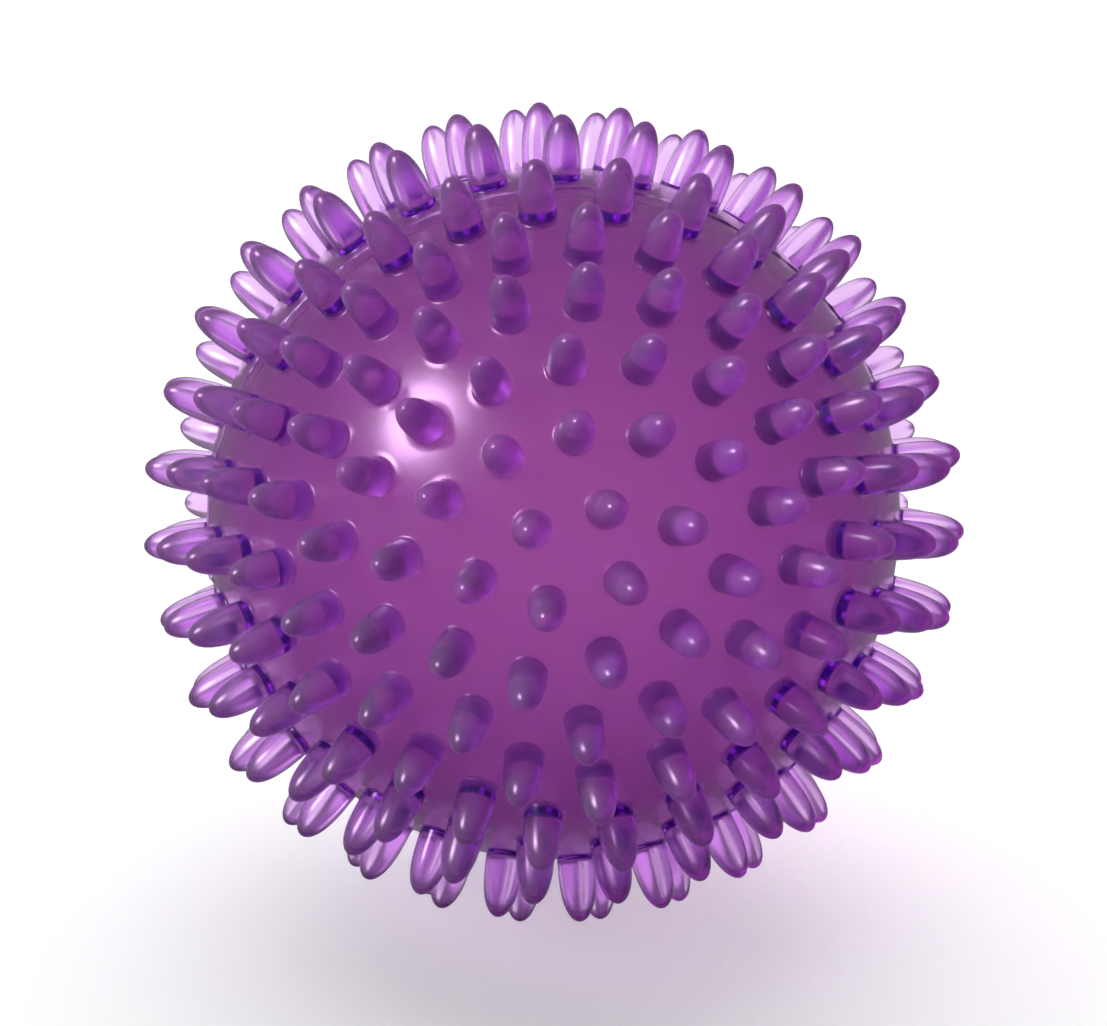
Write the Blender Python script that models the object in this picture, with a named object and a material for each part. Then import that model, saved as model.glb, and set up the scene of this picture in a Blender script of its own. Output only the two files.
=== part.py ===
"""Spiky massage ball: two soft moulded halves, bonded at the seam, with an air valve in the rear pole.

The ball's centre is the origin. The moulding axis is Y: the front pole is at -Y, the rear pole at +Y, and
the halves part on the XZ plane. Spikes stand in rings about that axis. Beside the seam, the rear half's
spikes stand between the front half's, and the rear half has the valve in place of its pole spike.
"""
import math

import bmesh
import bpy
from mathutils import Vector

# Driving dimensions, in metres
CORE_RADIUS = 0.0378
SPIKE_HEIGHT = 0.0072
WALL = 0.0030
GAP = 0.0003

# Rings of spikes from the pole to the seam, each as its angle from the pole, its number of spikes,
# and the turn of its first spike from +Z towards +X, with both angles in degrees
FRONT_RINGS = (
    (12.5, 6, 14.5),
    (23.5, 12, 32.0),
    (35.5, 18, 14.5),
    (47.0, 22, 11.5),
    (58.0, 26, 14.5),
    (69.0, 29, 14.5),
    (80.0, 30, 20.0),
)
REAR_RINGS = (
    (12.0, 6, 0.0),
    (24.0, 12, 15.0),
    (36.0, 18, 5.0),
    (48.0, 22, 8.0),
    (60.0, 26, 12.0),
    (72.0, 29, 0.5),
    (84.5, 30, 2.0),
)
SPIKE_SIDES = 6
SPIKE_BASE_RADIUS = 0.0022
# Each level of a spike: how far up its height, and its radius as a share of the base radius
SPIKE_LEVELS = ((0.55, 0.88), (1.0, 0.42))

# Seam: a lap joint, and the V groove over it that holds the bonding bead
RIM_SEGMENTS = 60
GROOVE_HALF_WIDTH = 0.0008
GROOVE_DEPTH = 0.0008
TONGUE_RADIUS = 0.0363
TONGUE_LENGTH = 0.0012
# Each level of the bead: its height over the core sphere and its half width
BEAD_LEVELS = ((-0.0004, 0.0001), (0.0, 0.0004), (0.00025, 0.0002))

# Valve, all on the moulding axis
VALVE_SEGMENTS = 24
VALVE_HOLE_RADIUS = 0.0040
BUSH_FACE = CORE_RADIUS + 0.0002
BUSH_BORE_RADIUS = 0.0016
BUSH_FLANGE_RADIUS = 0.0060
BUSH_FLANGE_TOP = 0.0339
BUSH_FLANGE_THICKNESS = 0.0014
BUSH_BORE_BOTTOM = 0.0337
PLUG_STEM_RADIUS = BUSH_BORE_RADIUS - GAP
PLUG_STEM_END = 0.0341
PLUG_HEAD_RADIUS = 0.0030
PLUG_HEAD_THICKNESS = 0.0012
PLUG_BEVEL = 0.0003

INNER_RADIUS = CORE_RADIUS - WALL
FRONT, REAR = -1, 1


def clear_scene():
    for item in list(bpy.data.objects):
        bpy.data.objects.remove(item, do_unlink=True)


def make_material(name, colour, roughness):
    material = bpy.data.materials.new(name)
    material.use_nodes = True
    shader = material.node_tree.nodes["Principled BSDF"]
    shader.inputs["Base Color"].default_value = (*colour, 1.0)
    shader.inputs["Roughness"].default_value = roughness
    shader.inputs["Metallic"].default_value = 0.0
    material.diffuse_color = (*colour, 1.0)
    return material


def on_axis_ring(radius, depth, side, segments):
    """Points of a circle about the moulding axis, at a distance from the parting plane."""
    ring = []
    for index in range(segments):
        turn = 2.0 * math.pi * index / segments
        ring.append(Vector((radius * math.sin(turn), side * depth, radius * math.cos(turn))))
    return ring


def direction(side, polar, turn):
    """Unit vector at a polar angle from one half's pole, turned about the moulding axis from +Z."""
    reach = math.sin(polar)
    return Vector((reach * math.sin(turn), side * math.cos(polar), reach * math.cos(turn)))


def spike_directions(side):
    """Directions of one half's spikes, ring by ring, with the front half's pole spike last."""
    found = []
    for polar, count, start in FRONT_RINGS if side == FRONT else REAR_RINGS:
        for index in range(count):
            turn = math.radians(start) + 2.0 * math.pi * index / count
            found.append(direction(side, math.radians(polar), turn))
    if side == FRONT:
        found.append(direction(side, 0.0, 0.0))
    return found


def spike_base(axis):
    """Corners of a spike's foot on the core sphere, anticlockwise seen from outside."""
    across = axis.cross(Vector((0.0, 1.0, 0.0)))
    across = across.normalized() if across.length > 0.01 else Vector((1.0, 0.0, 0.0))
    along = axis.cross(across)
    height = math.sqrt(CORE_RADIUS ** 2 - SPIKE_BASE_RADIUS ** 2)
    corners = []
    for index in range(SPIKE_SIDES):
        angle = 2.0 * math.pi * index / SPIKE_SIDES
        spread = across * math.cos(angle) + along * math.sin(angle)
        corners.append(axis * height + spread * SPIKE_BASE_RADIUS)
    return corners


def hull_with_holes(bm, loose_points, loops):
    """Hull of points on a sphere, left open inside each of the loops. Returns the loops' vertices."""
    loop_verts = [[bm.verts.new(point) for point in loop] for loop in loops]
    owner = {vert: number for number, verts in enumerate(loop_verts) for vert in verts}
    points = [bm.verts.new(point) for point in loose_points] + list(owner)
    hull = bmesh.ops.convex_hull(bm, input=points)
    faces = [item for item in hull["geom"] if isinstance(item, bmesh.types.BMFace)]
    lids = [face for face in faces if len({owner.get(vert, vert) for vert in face.verts}) == 1]
    bmesh.ops.delete(bm, geom=lids, context="FACES")
    return loop_verts


def raise_spikes(bm, bases, axes):
    """Extrudes each spike's foot through its levels to its blunt tip."""
    foot = [bm.faces.new(base) for base in bases]
    below = 0.0
    scale_below = 1.0
    for share, scale in SPIKE_LEVELS:
        foot = bmesh.ops.extrude_discrete_faces(bm, faces=foot)["faces"]
        for face, axis in zip(foot, axes):
            centre = face.calc_center_median()
            for vert in face.verts:
                spread = (vert.co - centre) * (scale / scale_below)
                vert.co = centre + spread + axis * (share - below) * spike_length()
        below = share
        scale_below = scale


def spike_length():
    """Height of a spike above the flat of its foot, which lies a little under the core sphere."""
    return CORE_RADIUS + SPIKE_HEIGHT - math.sqrt(CORE_RADIUS ** 2 - SPIKE_BASE_RADIUS ** 2)


def bridge(bm, first, second):
    for index, vert in enumerate(first):
        following = (index + 1) % len(first)
        bm.faces.new((vert, first[following], second[following], second[index]))


def rim_profile(side):
    """Radius and depth of the rim's corners, from the seam groove to the inside of the wall."""
    if side == FRONT:
        step = ((TONGUE_RADIUS, GAP / 2), (TONGUE_RADIUS, -TONGUE_LENGTH), (INNER_RADIUS, -TONGUE_LENGTH))
    else:
        depth = TONGUE_LENGTH + GAP
        step = ((TONGUE_RADIUS + GAP, GAP / 2), (TONGUE_RADIUS + GAP, depth))
    return ((CORE_RADIUS - GROOVE_DEPTH, GAP / 2), *step)


def make_shell(name, side, material):
    bm = bmesh.new()
    axes = spike_directions(side)
    bases = [spike_base(axis) for axis in axes]

    outer_rim_radius = math.sqrt(CORE_RADIUS ** 2 - GROOVE_HALF_WIDTH ** 2)
    outer_rim = on_axis_ring(outer_rim_radius, GROOVE_HALF_WIDTH, side, RIM_SEGMENTS)
    inner_depth = GAP / 2 if side == FRONT else TONGUE_LENGTH + GAP
    inner_rim_radius = math.sqrt(INNER_RADIUS ** 2 - inner_depth ** 2)
    inner_rim = on_axis_ring(inner_rim_radius, inner_depth, side, RIM_SEGMENTS)
    inner_points = [axis * INNER_RADIUS for axis in axes]

    outer_loops = bases + [outer_rim]
    inner_loops = [inner_rim]
    if side == REAR:
        for loops, radius in ((outer_loops, CORE_RADIUS), (inner_loops, INNER_RADIUS)):
            height = math.sqrt(radius ** 2 - VALVE_HOLE_RADIUS ** 2)
            loops.append(on_axis_ring(VALVE_HOLE_RADIUS, height, side, VALVE_SEGMENTS))

    outer = hull_with_holes(bm, [], outer_loops)
    inner = hull_with_holes(bm, inner_points, inner_loops)
    raise_spikes(bm, outer[:len(bases)], axes)

    previous = outer[len(bases)]
    for radius, depth in rim_profile(side):
        ring = [bm.verts.new(point) for point in on_axis_ring(radius, depth, side, RIM_SEGMENTS)]
        bridge(bm, previous, ring)
        previous = ring
    bridge(bm, previous, inner[0])
    if side == REAR:
        bridge(bm, outer[-1], inner[-1])
    return finish_object(name, bm, material)


def make_turned(name, profile, segments, material):
    """A closed solid turned about the moulding axis from (radius, y) corners.

    A profile that starts off the axis is joined up into a ring; any other starts and ends on the axis.
    """
    bm = bmesh.new()
    rings = []
    for radius, y in profile:
        points = on_axis_ring(radius, y, REAR, segments) if radius > 0.0 else [Vector((0.0, y, 0.0))]
        rings.append([bm.verts.new(point) for point in points])
    pairs = list(zip(rings, rings[1:]))
    if profile[0][0] > 0.0:
        pairs.append((rings[-1], rings[0]))
    for first, second in pairs:
        if len(first) == 1:
            fan(bm, first[0], second)
        elif len(second) == 1:
            fan(bm, second[0], first)
        else:
            bridge(bm, first, second)
    return finish_object(name, bm, material)


def fan(bm, centre, ring):
    for index, vert in enumerate(ring):
        bm.faces.new((centre, vert, ring[(index + 1) % len(ring)]))


def finish_object(name, bm, material):
    bmesh.ops.recalc_face_normals(bm, faces=bm.faces)
    mesh = bpy.data.meshes.new(name)
    bm.to_mesh(mesh)
    bm.free()
    mesh.shade_smooth()
    mesh.set_sharp_from_angle(angle=math.radians(40))
    mesh.materials.append(material)
    item = bpy.data.objects.new(name, mesh)
    bpy.context.scene.collection.objects.link(item)
    return item


def make_seam_bead(material):
    upper = [(CORE_RADIUS + rise, half_width) for rise, half_width in BEAD_LEVELS]
    lower = [(radius, -half_width) for radius, half_width in reversed(upper)]
    return make_turned("seam_bead", upper + lower, RIM_SEGMENTS, material)


def make_valve_bush(material):
    """The bore's inner end is closed by a membrane that an inflating needle pierces."""
    body_radius = VALVE_HOLE_RADIUS - GAP
    flange_bottom = BUSH_FLANGE_TOP - BUSH_FLANGE_THICKNESS
    profile = (
        (0.0, BUSH_BORE_BOTTOM),
        (BUSH_BORE_RADIUS, BUSH_BORE_BOTTOM),
        (BUSH_BORE_RADIUS, BUSH_FACE),
        (body_radius, BUSH_FACE),
        (body_radius, BUSH_FLANGE_TOP),
        (BUSH_FLANGE_RADIUS, BUSH_FLANGE_TOP),
        (BUSH_FLANGE_RADIUS, flange_bottom),
        (0.0, flange_bottom),
    )
    return make_turned("valve_bush", profile, VALVE_SEGMENTS, material)


def make_valve_plug(material):
    """Modelled about its own origin, which is where the plug's head seats, on the slide joint's axis."""
    seat = BUSH_FACE + GAP
    head_top = seat + PLUG_HEAD_THICKNESS
    profile = (
        (0.0, PLUG_STEM_END),
        (PLUG_STEM_RADIUS - PLUG_BEVEL, PLUG_STEM_END),
        (PLUG_STEM_RADIUS, PLUG_STEM_END + 2 * PLUG_BEVEL),
        (PLUG_STEM_RADIUS, seat),
        (PLUG_HEAD_RADIUS, seat),
        (PLUG_HEAD_RADIUS, head_top - PLUG_BEVEL),
        (PLUG_HEAD_RADIUS - PLUG_BEVEL, head_top),
        (0.0, head_top),
    )
    local = [(radius, y - seat) for radius, y in profile]
    plug = make_turned("valve_plug", local, VALVE_SEGMENTS, material)
    plug.location = (0.0, seat, 0.0)
    return plug


def main():
    clear_scene()
    shell_pvc = make_material("translucent_purple_pvc", (0.262, 0.053, 0.283), 0.15)
    bead_pvc = make_material("bonding_pvc", (0.330, 0.090, 0.340), 0.30)
    bush_pvc = make_material("bush_pvc", (0.150, 0.020, 0.180), 0.40)
    plug_pvc = make_material("plug_pvc", (0.120, 0.015, 0.150), 0.35)
    make_shell("front_shell", FRONT, shell_pvc)
    make_shell("rear_shell", REAR, shell_pvc)
    make_seam_bead(bead_pvc)
    make_valve_bush(bush_pvc)
    make_valve_plug(plug_pvc)


main()
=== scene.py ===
import math

import bmesh
import bpy
import numpy as np
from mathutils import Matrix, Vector
from mathutils.geometry import delaunay_2d_cdt


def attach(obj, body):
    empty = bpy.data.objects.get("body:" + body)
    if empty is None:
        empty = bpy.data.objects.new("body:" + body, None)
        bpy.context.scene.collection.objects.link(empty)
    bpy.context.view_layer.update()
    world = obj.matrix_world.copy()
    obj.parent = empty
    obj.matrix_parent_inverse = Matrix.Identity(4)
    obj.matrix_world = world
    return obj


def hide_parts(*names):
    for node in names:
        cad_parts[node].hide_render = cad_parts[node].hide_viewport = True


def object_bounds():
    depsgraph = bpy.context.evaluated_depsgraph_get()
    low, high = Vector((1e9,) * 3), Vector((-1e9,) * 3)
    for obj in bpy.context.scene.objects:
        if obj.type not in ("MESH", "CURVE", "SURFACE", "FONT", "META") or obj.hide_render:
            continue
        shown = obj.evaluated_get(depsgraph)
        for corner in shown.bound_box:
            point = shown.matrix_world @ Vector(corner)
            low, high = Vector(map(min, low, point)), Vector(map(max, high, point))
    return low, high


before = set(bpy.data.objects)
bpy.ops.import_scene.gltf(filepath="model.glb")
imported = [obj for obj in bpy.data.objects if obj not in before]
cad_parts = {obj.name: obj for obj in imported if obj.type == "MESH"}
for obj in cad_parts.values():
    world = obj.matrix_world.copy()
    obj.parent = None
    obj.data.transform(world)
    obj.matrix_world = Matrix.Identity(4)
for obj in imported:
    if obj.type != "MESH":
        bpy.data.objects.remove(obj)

# The CAD box, before any piece is made
CAD_BOX = [list(corner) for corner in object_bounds()]

# Sizes in metres, as in the CAD model apart from the roundings and the spikes. The CAD's spikes are
# six-sided and 0.13 mm taller: the radius here lies between the hexagon's corners and flats, and the
# rounded tips stay inside the CAD box
CORE_RADIUS = 0.0378
SPIKE_HEIGHT = 0.00707
WALL = 0.0030
INNER_RADIUS = CORE_RADIUS - WALL
SPIKE_BASE_RADIUS = 0.0021
VALVE_HOLE_RADIUS = 0.0040
BUSH_FACE = CORE_RADIUS + 0.0002
BUSH_RADIUS = 0.0037
BUSH_BORE_RADIUS = 0.0016
BUSH_BORE_BOTTOM = 0.0337
BUSH_FLANGE_RADIUS = 0.0060
BUSH_FLANGE_TOP = 0.0339
BUSH_FLANGE_THICKNESS = 0.0014
BUSH_ROUNDING = 0.0003
PLUG_STEM_RADIUS = 0.0013
PLUG_STEM_END = 0.0341
PLUG_SEAT = BUSH_FACE + 0.0003
PLUG_HEAD_RADIUS = 0.0030
PLUG_HEAD_THICKNESS = 0.0012
PLUG_ROUNDING = 0.0004
FRONT, REAR = -1, 1

# Rings of spikes from each pole to the seam, as in the CAD model: angle from the pole, number of
# spikes, and turn of the first spike from +Z towards +X, with both angles in degrees
FRONT_RINGS = (
    (12.5, 6, 14.5),
    (23.5, 12, 32.0),
    (35.5, 18, 14.5),
    (47.0, 22, 11.5),
    (58.0, 26, 14.5),
    (69.0, 29, 14.5),
    (80.0, 30, 20.0),
)
REAR_RINGS = (
    (12.0, 6, 0.0),
    (24.0, 12, 15.0),
    (36.0, 18, 5.0),
    (48.0, 22, 8.0),
    (60.0, 26, 12.0),
    (72.0, 29, 0.5),
    (84.5, 30, 2.0),
)

# How finely the shells are meshed
SPIKE_SIDES = 24
SPIKE_STEPS = 12
SPIKE_POWER = 3.0
FILLET = 0.0003
FILLET_STEPS = 3
COLLAR = 0.0006
FILLER_SPACING = 0.0012
RIM_SEGMENTS = 180
INNER_RINGS = 24
VALVE_SEGMENTS = 60
SEAM_GAP = 0.00001

# The bead over the seam. The section is in shares of its half width and height
BEAD_SEGMENTS = 900
BEAD_WAVES = (9, 140, 7)
BEAD_HALF_WIDTH = 0.00026
BEAD_HALF_WIDTH_CHANGE = 0.00014
BEAD_HEIGHT = 0.00013
BEAD_HEIGHT_CHANGE = 0.00008
BEAD_WANDER = 0.00007
BEAD_CLEARANCE = 0.00002
BEAD_SECTION = (
    (-1.0, 0.0),
    (-0.8, 0.55),
    (-0.35, 0.95),
    (0.35, 0.95),
    (0.8, 0.55),
    (1.0, 0.0),
    (0.0, 0.0),
)

# Finish of the shells' PVC: a spike runs from its clearer foot to its frosted tip
PVC_IOR = 1.45
GLOSS_ROUGHNESS = 0.26
FOOT_ROUGHNESS = 0.17
TIP_ROUGHNESS = 0.27
INNER_ROUGHNESS = 0.85
FOOT_CLARITY = 0.998
TIP_CLARITY = 0.975
OUTER_TINT = (0.98, 0.88, 0.98)
INNER_TINT = (0.69, 0.36, 0.56)
SPECULAR_TINT = (0.30, 0.10, 0.35)
ABSORB_COLOUR = (0.66, 0.03, 0.88, 1.0)
ABSORB_DENSITY = 150.0
GLOSS_WEIGHT = 0.3
MOTTLE_SCALE = 260.0

# Finish of the bead and the valve
BEAD_DARK = (0.10, 0.02, 0.16)
BEAD_PALE = (0.50, 0.28, 0.55)
BEAD_PATCH_SCALE = 190.0
GRAIN_SCALE = 1400.0
BUSH_COLOUR = (0.150, 0.020, 0.180)
PLUG_COLOUR = (0.120, 0.015, 0.150)

# Studio, with azimuth 0 in front of the ball, at -Y, and 90 at +X
CAMERA_AZIMUTH = -8.05
CAMERA_ELEVATION = 23.2
CAMERA_DISTANCE = 0.756
CAMERA_LENS = 225.0
KEY_AZIMUTH = -68.5
KEY_ELEVATION = 41.0
KEY_DISTANCE = 0.60
KEY_SIZE = 0.24
KEY_POWER = 8.5
FLOOR_REACH = 3.0
FLOOR_COLOUR = (0.80, 0.80, 0.80)
FLOOR_GLOW = 0.42
CEILING_POWER = 1.3
CEILING_SPREAD = 70.0
WORLD_FRONT = 0.08
WORLD_BEHIND = 1.20
WORLD_IN_GLOSS = 0.2


def on_axis_ring(radius, y, segments):
    """Points of a circle about the moulding axis, Y."""
    turns = 2.0 * math.pi * np.arange(segments) / segments
    across = radius * np.sin(turns)
    up = radius * np.cos(turns)
    return np.stack([across, np.full(segments, y), up], axis=1)


def direction(side, polar, turn):
    """Unit vector at a polar angle from one half's pole, turned about the moulding axis from +Z."""
    reach = math.sin(polar)
    return np.array([reach * math.sin(turn), side * math.cos(polar), reach * math.cos(turn)])


def spike_axes(side):
    """Directions of one half's spikes: the pole on the front half, then ring by ring."""
    axes = [direction(side, 0.0, 0.0)] if side == FRONT else []
    for polar, count, start in FRONT_RINGS if side == FRONT else REAR_RINGS:
        for index in range(count):
            turn = math.radians(start) + 2.0 * math.pi * index / count
            axes.append(direction(side, math.radians(polar), turn))
    return np.array(axes)


def circle_about(axis, height, radius, sides, offset=0.0):
    """Points of a circle round an axis through the ball's centre."""
    across = np.cross(axis, (0.0, 1.0, 0.0))
    length = np.linalg.norm(across)
    across = across / length if length > 0.01 else np.array([1.0, 0.0, 0.0])
    along = np.cross(axis, across)
    turns = 2.0 * math.pi * (np.arange(sides) + offset) / sides
    spread = np.outer(np.cos(turns), across) + np.outer(np.sin(turns), along)
    return axis * height + spread * radius


def spike_profile():
    """(height from the ball's centre, radius) up a spike, above its foot on the core sphere."""
    foot_radius = SPIKE_BASE_RADIUS + FILLET
    foot = math.sqrt(CORE_RADIUS ** 2 - foot_radius ** 2)
    rise = CORE_RADIUS + FILLET - foot
    levels = []
    for step in range(1, FILLET_STEPS + 1):
        angle = 0.5 * math.pi * step / FILLET_STEPS
        levels.append((foot + rise * (1.0 - math.cos(angle)), foot_radius - FILLET * math.sin(angle)))
    start = FILLET / SPIKE_HEIGHT
    for step in range(1, SPIKE_STEPS):
        share = start + (1.0 - start) * math.sin(0.5 * math.pi * step / SPIKE_STEPS)
        taper = (share ** SPIKE_POWER - start ** SPIKE_POWER) / (1.0 - start ** SPIKE_POWER)
        radius = SPIKE_BASE_RADIUS * math.sqrt(1.0 - taper)
        levels.append((CORE_RADIUS + SPIKE_HEIGHT * share, radius))
    return foot, foot_radius, levels


def filler_directions(side, axes):
    """Evenly spread directions over one half, clear of the spikes' collars, the rim and the valve."""
    count = int(4.0 * math.pi * CORE_RADIUS ** 2 / (0.87 * FILLER_SPACING ** 2))
    index = np.arange(count) + 0.5
    cosine = 1.0 - 2.0 * index / count
    turn = math.pi * (1.0 + math.sqrt(5.0)) * index
    sine = np.sqrt(1.0 - cosine ** 2)
    points = np.stack([sine * np.sin(turn), cosine, sine * np.cos(turn)], axis=1)
    clear = SPIKE_BASE_RADIUS + FILLET + COLLAR + 0.6 * FILLER_SPACING
    from_spikes = np.max(points @ axes.T, axis=1) < math.cos(clear / CORE_RADIUS)
    from_rim = side * points[:, 1] > 0.7 * FILLER_SPACING / CORE_RADIUS
    keep = from_spikes & from_rim
    if side == REAR:
        keep &= points[:, 1] < math.cos((VALVE_HOLE_RADIUS + 0.6 * FILLER_SPACING) / CORE_RADIUS)
    return points[keep]


def sphere_net(side, loops, loose):
    """Delaunay net over one half of the core sphere. It is open inside the loops, and ends at the rim."""
    points = np.concatenate([*loops, loose])
    unit = points / np.linalg.norm(points, axis=1)[:, None]
    shrink = 1.0 + side * unit[:, 1]
    flat = [Vector((x, z)) for x, z in zip(unit[:, 0] / shrink, unit[:, 2] / shrink)]
    owner = np.full(len(points), -1)
    start = 0
    for number, loop in enumerate(loops):
        owner[start:start + len(loop)] = number
        start += len(loop)
    faces = delaunay_2d_cdt(flat, [], [], 0, 1e-9)[2]
    kept = []
    for face in faces:
        owners = {int(owner[index]) for index in face}
        if len(owners) == 1 and -1 not in owners:
            continue
        kept.append(tuple(face))
    return points, kept


def band(below, above):
    """Quads between two loops of the same length."""
    size = len(below)
    return [(below[i], below[(i + 1) % size], above[(i + 1) % size], above[i]) for i in range(size)]


def fan(ring, centre):
    size = len(ring)
    return [(ring[i], ring[(i + 1) % size], centre) for i in range(size)]


def stitch(many, few):
    """Triangles and quads between two loops, the first with a whole multiple of the second's points."""
    ratio = len(many) // len(few)
    faces = []
    for i, corner in enumerate(few):
        following = few[(i + 1) % len(few)]
        row = [many[(i * ratio + k) % len(many)] for k in range(ratio + 1)]
        for k in range(ratio):
            if k == ratio // 2:
                faces.append((row[k], row[k + 1], following, corner))
            else:
                faces.append((row[k], row[k + 1], corner if k < ratio // 2 else following))
    return faces


def make_piece(name, points, faces, sharp_degrees=40.0):
    mesh = bpy.data.meshes.new(name)
    mesh.from_pydata([tuple(point) for point in points], [], faces)
    bm = bmesh.new()
    bm.from_mesh(mesh)
    bmesh.ops.recalc_face_normals(bm, faces=bm.faces)
    bm.to_mesh(mesh)
    bm.free()
    mesh.shade_smooth()
    mesh.set_sharp_from_angle(angle=math.radians(sharp_degrees))
    piece = bpy.data.objects.new(name, mesh)
    bpy.context.scene.collection.objects.link(piece)
    return piece


def outer_loops(side, axes, foot, foot_radius):
    """The loops that the core sphere's net is open inside: spikes' feet, the valve hole, and the rim."""
    loops = [circle_about(axis, foot, foot_radius, SPIKE_SIDES) for axis in axes]
    if side == REAR:
        hole_height = math.sqrt(CORE_RADIUS ** 2 - VALVE_HOLE_RADIUS ** 2)
        loops.append(on_axis_ring(VALVE_HOLE_RADIUS, hole_height, VALVE_SEGMENTS))
    rim_height = side * SEAM_GAP / 2.0
    rim_radius = math.sqrt(CORE_RADIUS ** 2 - rim_height ** 2)
    loops.append(on_axis_ring(rim_radius, rim_height, RIM_SEGMENTS))
    return loops


def add_spikes(points, faces, axes, levels):
    """Spikes on their feet, which are the first loops of the net."""
    for number, axis in enumerate(axes):
        below = list(range(number * SPIKE_SIDES, (number + 1) * SPIKE_SIDES))
        for height, radius in levels:
            above = list(range(len(points), len(points) + SPIKE_SIDES))
            points.extend(circle_about(axis, height, radius, SPIKE_SIDES))
            faces.extend(band(below, above))
            below = above
        points.append(axis * (CORE_RADIUS + SPIKE_HEIGHT))
        faces.extend(fan(below, len(points) - 1))


def add_inner_wall(points, faces, side, hole_start):
    """The seam's face and the hollow's wall, which ends at the pole or at the valve hole."""
    rim_start = hole_start + (VALVE_SEGMENTS if side == REAR else 0)
    below = list(range(rim_start, rim_start + RIM_SEGMENTS))
    last_polar = math.asin(VALVE_HOLE_RADIUS / INNER_RADIUS) if side == REAR else 0.0
    for ring in range(INNER_RINGS):
        polar = 0.5 * math.pi + (last_polar - 0.5 * math.pi) * ring / INNER_RINGS
        y = side * max(INNER_RADIUS * math.cos(polar), SEAM_GAP / 2.0)
        above = list(range(len(points), len(points) + RIM_SEGMENTS))
        points.extend(on_axis_ring(INNER_RADIUS * math.sin(polar), y, RIM_SEGMENTS))
        faces.extend(band(below, above))
        below = above
    if side == FRONT:
        points.append(np.array([0.0, side * INNER_RADIUS, 0.0]))
        faces.extend(fan(below, len(points) - 1))
        return
    inner_height = math.sqrt(INNER_RADIUS ** 2 - VALVE_HOLE_RADIUS ** 2)
    inner = list(range(len(points), len(points) + VALVE_SEGMENTS))
    points.extend(on_axis_ring(VALVE_HOLE_RADIUS, inner_height, VALVE_SEGMENTS))
    faces.extend(stitch(below, inner))
    faces.extend(band(inner, list(range(hole_start, hole_start + VALVE_SEGMENTS))))


def make_shell(name, side):
    """One moulded half: the core's outside with its spikes, the seam's face and the hollow's wall."""
    axes = spike_axes(side)
    foot, foot_radius, levels = spike_profile()
    collar_radius = foot_radius + COLLAR
    collar_height = math.sqrt(CORE_RADIUS ** 2 - collar_radius ** 2)
    collars = [circle_about(axis, collar_height, collar_radius, SPIKE_SIDES, 0.5) for axis in axes]
    loose = np.concatenate([*collars, CORE_RADIUS * filler_directions(side, axes)])
    net_points, net_faces = sphere_net(side, outer_loops(side, axes, foot, foot_radius), loose)
    points = list(net_points)
    faces = list(net_faces)
    add_spikes(points, faces, axes, levels)
    add_inner_wall(points, faces, side, len(axes) * SPIKE_SIDES)
    return make_piece(name, points, faces)


def make_turned(name, profile, segments=72):
    """A solid turned about the moulding axis from (radius, y) corners, which start and end on the axis."""
    points = []
    faces = []
    below = None
    for radius, y in profile:
        if radius == 0.0:
            points.append(np.array([0.0, y, 0.0]))
            if below is not None:
                faces.extend(fan(below, len(points) - 1))
            else:
                first_centre = len(points) - 1
            continue
        above = list(range(len(points), len(points) + segments))
        points.extend(on_axis_ring(radius, y, segments))
        faces.extend(fan(above, first_centre) if below is None else band(below, above))
        below = above
    return make_piece(name, points, faces, 50.0)


def rounded(profile, radius, steps=4):
    """The same profile with each inner corner turned into an arc."""
    smooth = [profile[0]]
    for before, corner, after in zip(profile, profile[1:], profile[2:]):
        before, corner, after = (np.array(point) for point in (before, corner, after))
        entry = before - corner
        leave = after - corner
        cut = min(radius, 0.45 * np.linalg.norm(entry), 0.45 * np.linalg.norm(leave))
        entry = corner + entry / np.linalg.norm(entry) * cut
        leave = corner + leave / np.linalg.norm(leave) * cut
        for step in range(steps + 1):
            t = step / steps
            point = entry * (1 - t) ** 2 + 2 * corner * t * (1 - t) + leave * t ** 2
            smooth.append((float(point[0]), float(point[1])))
    smooth.append(profile[-1])
    return smooth


def make_bush():
    flange_bottom = BUSH_FLANGE_TOP - BUSH_FLANGE_THICKNESS
    profile = [
        (0.0, BUSH_BORE_BOTTOM),
        (BUSH_BORE_RADIUS, BUSH_BORE_BOTTOM),
        (BUSH_BORE_RADIUS, BUSH_FACE),
        (BUSH_RADIUS, BUSH_FACE),
        (BUSH_RADIUS, BUSH_FLANGE_TOP),
        (BUSH_FLANGE_RADIUS, BUSH_FLANGE_TOP),
        (BUSH_FLANGE_RADIUS, flange_bottom),
        (0.0, flange_bottom),
    ]
    return make_turned("bush", rounded(profile, BUSH_ROUNDING))


def make_plug():
    top = PLUG_SEAT + PLUG_HEAD_THICKNESS
    profile = [
        (0.0, PLUG_STEM_END),
        (PLUG_STEM_RADIUS, PLUG_STEM_END),
        (PLUG_STEM_RADIUS, PLUG_SEAT),
        (PLUG_HEAD_RADIUS, PLUG_SEAT),
        (PLUG_HEAD_RADIUS, top),
        (0.0, top),
    ]
    return make_turned("plug_stopper", rounded(profile, PLUG_ROUNDING))


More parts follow.
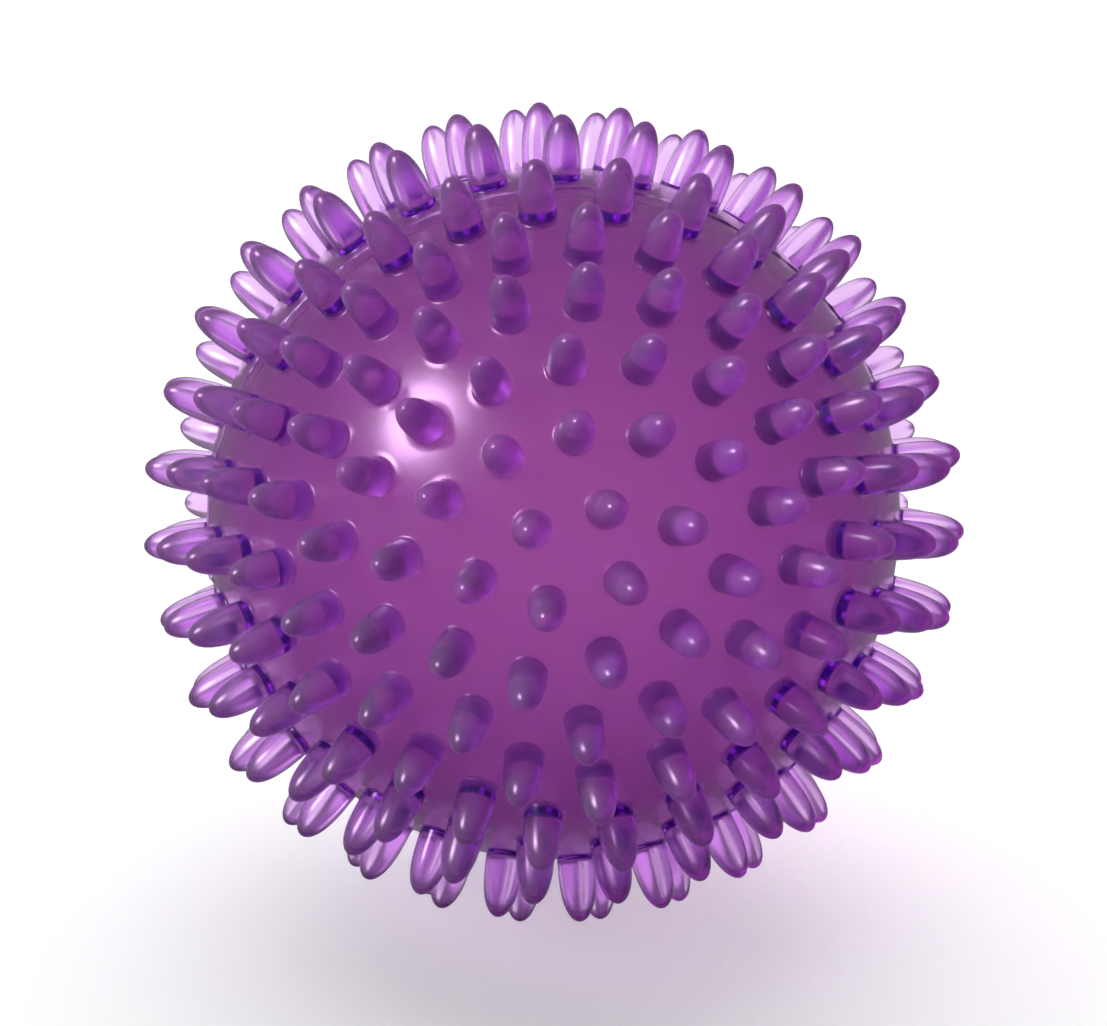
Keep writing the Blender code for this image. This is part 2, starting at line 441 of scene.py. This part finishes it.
def make_bead():
    """The uneven ridge of bonding PVC over the seam: it swells, thins and wanders along its way."""
    turns = 2.0 * math.pi * np.arange(BEAD_SEGMENTS) / BEAD_SEGMENTS
    random = np.random.default_rng(7)
    full_turn = 6.28
    swell = np.zeros(BEAD_SEGMENTS)
    drift = np.zeros(BEAD_SEGMENTS)
    for waves in range(*BEAD_WAVES):
        swell += random.normal() * np.sin(waves * turns + random.uniform(0, full_turn)) / 4.0
        drift += random.normal() * np.sin(waves * turns + random.uniform(0, full_turn)) / 4.0
    half = BEAD_HALF_WIDTH + BEAD_HALF_WIDTH_CHANGE * np.clip(swell, -1, 1)
    rise = BEAD_HEIGHT + BEAD_HEIGHT_CHANGE * np.clip(swell, -1, 1)
    shift = BEAD_WANDER * np.clip(drift, -1, 1)
    points = []
    for index, turn in enumerate(turns):
        for across, up in BEAD_SECTION:
            radius = CORE_RADIUS + BEAD_CLEARANCE + rise[index] * up
            y = shift[index] + half[index] * across
            points.append((radius * math.sin(turn), y, radius * math.cos(turn)))
    size = len(BEAD_SECTION)
    faces = []
    for index in range(BEAD_SEGMENTS):
        this = list(range(index * size, (index + 1) * size))
        following = [((index + 1) % BEAD_SEGMENTS) * size + k for k in range(size)]
        faces.extend(band(this, following))
    return make_piece("bonding_bead", points, faces, 60.0)


def principled(name, colour, roughness, transmission=0.0, ior=1.53):
    material = bpy.data.materials.new(name)
    material.use_nodes = True
    nodes = material.node_tree.nodes
    shader = nodes["Principled BSDF"]
    shader.inputs["Base Color"].default_value = (*colour, 1.0)
    shader.inputs["Roughness"].default_value = roughness
    shader.inputs["IOR"].default_value = ior
    shader.inputs["Transmission Weight"].default_value = transmission
    return material, shader


def ramp(tree, value, source, target, smooth=False):
    """A Map Range node from one range to another, fed by a socket. Returns the node."""
    nodes, links = tree.nodes, tree.links
    node = nodes.new("ShaderNodeMapRange")
    if smooth:
        node.interpolation_type = "SMOOTHSTEP"
    node.inputs["From Min"].default_value, node.inputs["From Max"].default_value = source
    node.inputs["To Min"].default_value, node.inputs["To Max"].default_value = target
    links.new(value, node.inputs["Value"])
    return node


def blend_colours(tree, factor, low, high):
    """A Mix node between two colours, fed by a socket. Returns its colour output."""
    nodes, links = tree.nodes, tree.links
    tone = nodes.new("ShaderNodeMix")
    tone.data_type = "RGBA"
    tone.inputs["A"].default_value = (*low, 1.0)
    tone.inputs["B"].default_value = (*high, 1.0)
    links.new(factor, tone.inputs["Factor"])
    return tone.outputs["Result"]


def grain_bump(tree, shader, noise, strength, depth):
    """Raises the surface a little by a noise."""
    nodes, links = tree.nodes, tree.links
    bump = nodes.new("ShaderNodeBump")
    bump.inputs["Strength"].default_value = strength
    bump.inputs["Distance"].default_value = depth
    links.new(noise.outputs["Fac"], bump.inputs["Height"])
    links.new(bump.outputs["Normal"], shader.inputs["Normal"])


def absorb_light(tree):
    """Colours the PVC by the length of the light's way through it."""
    nodes, links = tree.nodes, tree.links
    absorb = nodes.new("ShaderNodeVolumeAbsorption")
    absorb.inputs["Color"].default_value = ABSORB_COLOUR
    absorb.inputs["Density"].default_value = ABSORB_DENSITY
    links.new(absorb.outputs["Volume"], nodes["Material Output"].inputs["Volume"])


def shell_material():
    """Clear purple PVC: hazy and tinted on the hollow's wall, and frosted towards the spikes' tips."""
    material, shader = principled("shell_pvc", OUTER_TINT, FOOT_ROUGHNESS, FOOT_CLARITY, PVC_IOR)
    shader.inputs["Specular Tint"].default_value = (*SPECULAR_TINT, 1.0)
    shader.inputs["Coat Weight"].default_value = GLOSS_WEIGHT
    shader.inputs["Coat Roughness"].default_value = GLOSS_ROUGHNESS
    shader.inputs["Coat IOR"].default_value = PVC_IOR
    tree = material.node_tree
    nodes, links = tree.nodes, tree.links
    place = nodes.new("ShaderNodeTexCoord")
    length = nodes.new("ShaderNodeVectorMath")
    length.operation = "LENGTH"
    links.new(place.outputs["Object"], length.inputs[0])
    radius = length.outputs["Value"]

    wall = (INNER_RADIUS + 0.0002, INNER_RADIUS + 0.0006)
    outside = ramp(tree, radius, wall, (0.0, 1.0)).outputs["Result"]
    spike = (CORE_RADIUS - 0.0005, CORE_RADIUS + 0.8 * SPIKE_HEIGHT)
    up_spike = ramp(tree, radius, spike, (0.0, 1.0), smooth=True).outputs["Result"]

    frost = ramp(tree, up_spike, (0.0, 1.0), (FOOT_ROUGHNESS, TIP_ROUGHNESS))
    haze = ramp(tree, outside, (0.0, 1.0), (INNER_ROUGHNESS, FOOT_ROUGHNESS))
    links.new(frost.outputs["Result"], haze.inputs["To Max"])
    links.new(haze.outputs["Result"], shader.inputs["Roughness"])
    clarity = ramp(tree, up_spike, (0.0, 1.0), (FOOT_CLARITY, TIP_CLARITY))
    links.new(clarity.outputs["Result"], shader.inputs["Transmission Weight"])
    links.new(blend_colours(tree, outside, INNER_TINT, OUTER_TINT), shader.inputs["Base Color"])

    mottle = nodes.new("ShaderNodeTexNoise")
    mottle.inputs["Scale"].default_value = MOTTLE_SCALE
    mottle.inputs["Detail"].default_value = 3.0
    links.new(place.outputs["Object"], mottle.inputs["Vector"])
    grain_bump(tree, shader, mottle, 0.15, 0.0001)
    absorb_light(tree)
    return material


def bead_material():
    """Squeezed-out bonding PVC: a dark, half-clear line that runs paler in places."""
    material, shader = principled("bead_pvc", BEAD_DARK, 0.35, 0.4, PVC_IOR)
    tree = material.node_tree
    nodes, links = tree.nodes, tree.links
    place = nodes.new("ShaderNodeTexCoord")
    patches = nodes.new("ShaderNodeTexNoise")
    patches.inputs["Scale"].default_value = BEAD_PATCH_SCALE
    links.new(place.outputs["Object"], patches.inputs["Vector"])
    pale = ramp(tree, patches.outputs["Fac"], (0.45, 0.75), (0.0, 1.0)).outputs["Result"]
    links.new(blend_colours(tree, pale, BEAD_DARK, BEAD_PALE), shader.inputs["Base Color"])
    return material


def soft_pvc(name, colour, roughness):
    """Opaque soft PVC with a fine moulded grain."""
    material, shader = principled(name, colour, roughness)
    tree = material.node_tree
    nodes, links = tree.nodes, tree.links
    place = nodes.new("ShaderNodeTexCoord")
    grain = nodes.new("ShaderNodeTexNoise")
    grain.inputs["Scale"].default_value = GRAIN_SCALE
    links.new(place.outputs["Object"], grain.inputs["Vector"])
    darker = [0.8 * part for part in colour]
    lighter = [1.2 * part for part in colour]
    tone = blend_colours(tree, grain.outputs["Fac"], darker, lighter)
    links.new(tone, shader.inputs["Base Color"])
    grain_bump(tree, shader, grain, 0.3, 0.00005)
    return material


def around(azimuth, elevation, distance):
    """A place round the ball: azimuth 0 is in front, at -Y, and 90 at +X."""
    a, e = math.radians(azimuth), math.radians(elevation)
    return Vector((math.sin(a) * math.cos(e), -math.cos(a) * math.cos(e), math.sin(e))) * distance


def softbox(name, azimuth, elevation, distance, size, power):
    light = bpy.data.lights.new(name, "AREA")
    light.shape = "DISK"
    light.size = size
    light.energy = power
    lamp = bpy.data.objects.new(name, light)
    lamp.location = around(azimuth, elevation, distance)
    lamp.rotation_mode = "QUATERNION"
    lamp.rotation_quaternion = lamp.location.to_track_quat("Z", "Y")
    bpy.context.scene.collection.objects.link(lamp)
    return lamp


def make_world():
    """Soft light from behind the ball, dim overhead and in front.

    Mirror reflections get a share of it, so that the ball's edges keep their colour, and the camera sees
    plain white.
    """
    world = bpy.data.worlds.new("studio")
    world.use_nodes = True
    tree = world.node_tree
    nodes, links = tree.nodes, tree.links
    place = nodes.new("ShaderNodeTexCoord")
    towards = nodes.new("ShaderNodeVectorMath")
    towards.operation = "DOT_PRODUCT"
    towards.inputs[1].default_value = (0.0, 1.0, 0.0)
    links.new(place.outputs["Generated"], towards.inputs[0])
    behind = (WORLD_FRONT, WORLD_BEHIND)
    level = ramp(tree, towards.outputs["Value"], (-0.35, 0.80), behind, smooth=True)
    rays = nodes.new("ShaderNodeLightPath")
    share = ramp(tree, rays.outputs["Is Glossy Ray"], (0.0, 1.0), (1.0, WORLD_IN_GLOSS))
    strength = nodes.new("ShaderNodeMath")
    strength.operation = "MULTIPLY"
    links.new(level.outputs["Result"], strength.inputs[0])
    links.new(share.outputs["Result"], strength.inputs[1])
    seen = ramp(tree, rays.outputs["Is Camera Ray"], (0.0, 1.0), (1.0, 1.0))
    links.new(strength.outputs["Value"], seen.inputs["To Min"])
    links.new(seen.outputs["Result"], nodes["Background"].inputs["Strength"])
    nodes["Background"].inputs["Color"].default_value = (1.0, 1.0, 1.0, 1.0)
    return world


def make_floor():
    scene = bpy.context.scene
    floor_mesh = bpy.data.meshes.new("floor")
    z = CAD_BOX[0][2] - 0.0001
    signs = ((-1.0, -1.0), (1.0, -1.0), (1.0, 1.0), (-1.0, 1.0))
    corners = [(FLOOR_REACH * across, FLOOR_REACH * along, z) for across, along in signs]
    floor_mesh.from_pydata(corners, [], [(0, 1, 2, 3)])
    floor = bpy.data.objects.new("floor", floor_mesh)
    scene.collection.objects.link(floor)
    material, shader = principled("floor_white", FLOOR_COLOUR, 0.9)
    shader.inputs["Emission Color"].default_value = (1.0, 1.0, 1.0, 1.0)
    shader.inputs["Emission Strength"].default_value = FLOOR_GLOW
    floor_mesh.materials.append(material)
    floor.visible_glossy = False
    return floor


def make_ceiling(floor):
    """Wide soft light that falls on the floor alone."""
    ceiling = bpy.data.lights.new("ceiling", "SUN")
    ceiling.angle = math.radians(CEILING_SPREAD)
    ceiling.energy = CEILING_POWER
    lamp = bpy.data.objects.new("ceiling", ceiling)
    lamp.rotation_mode = "QUATERNION"
    lamp.rotation_quaternion = Vector((0.0, 0.4, 1.0)).to_track_quat("Z", "Y")
    bpy.context.scene.collection.objects.link(lamp)
    floor_only = bpy.data.collections.new("floor_only")
    floor_only.objects.link(floor)
    lamp.light_linking.receiver_collection = floor_only


def make_stage(pieces):
    """Pale floor and studio light. The key light falls on the pieces alone."""
    make_ceiling(make_floor())
    bpy.context.scene.world = make_world()
    key = softbox("key", KEY_AZIMUTH, KEY_ELEVATION, KEY_DISTANCE, KEY_SIZE, KEY_POWER)
    key.light_linking.receiver_collection = pieces


def make_camera():
    scene = bpy.context.scene
    data = bpy.data.cameras.new("camera")
    data.lens = CAMERA_LENS
    camera = bpy.data.objects.new("camera", data)
    camera.location = around(CAMERA_AZIMUTH, CAMERA_ELEVATION, CAMERA_DISTANCE)
    camera.rotation_mode = "QUATERNION"
    camera.rotation_quaternion = camera.location.to_track_quat("Z", "Y")
    scene.collection.objects.link(camera)
    scene.camera = camera


def main():
    scene = bpy.context.scene
    scene.view_settings.view_transform = "Standard"
    scene.cycles.max_bounces = 32
    scene.cycles.transmission_bounces = 32
    scene.cycles.glossy_bounces = 16
    make_camera()
    pieces = bpy.data.collections.new("ball_pieces")
    make_stage(pieces)
    pvc = shell_material()
    front = make_shell("front_half", FRONT)
    rear = make_shell("rear_half", REAR)
    bead = make_bead()
    bush = make_bush()
    plug = make_plug()
    for piece in (front, rear):
        piece.data.materials.append(pvc)
    bead.data.materials.append(bead_material())
    bush.data.materials.append(soft_pvc("bush_pvc", BUSH_COLOUR, 0.4))
    plug.data.materials.append(soft_pvc("plug_pvc", PLUG_COLOUR, 0.35))
    for piece, node, slot in (
        (front, "front_shell", "shell_pvc"),
        (rear, "rear_shell", "shell_pvc"),
        (bead, "seam_bead", "bead_pvc"),
        (bush, "valve_bush", "bush_pvc"),
        (plug, "valve_plug", "plug_pvc"),
    ):
        pieces.objects.link(piece)
        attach(piece, "plug" if node == "valve_plug" else "ball")
        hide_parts(node)


main()
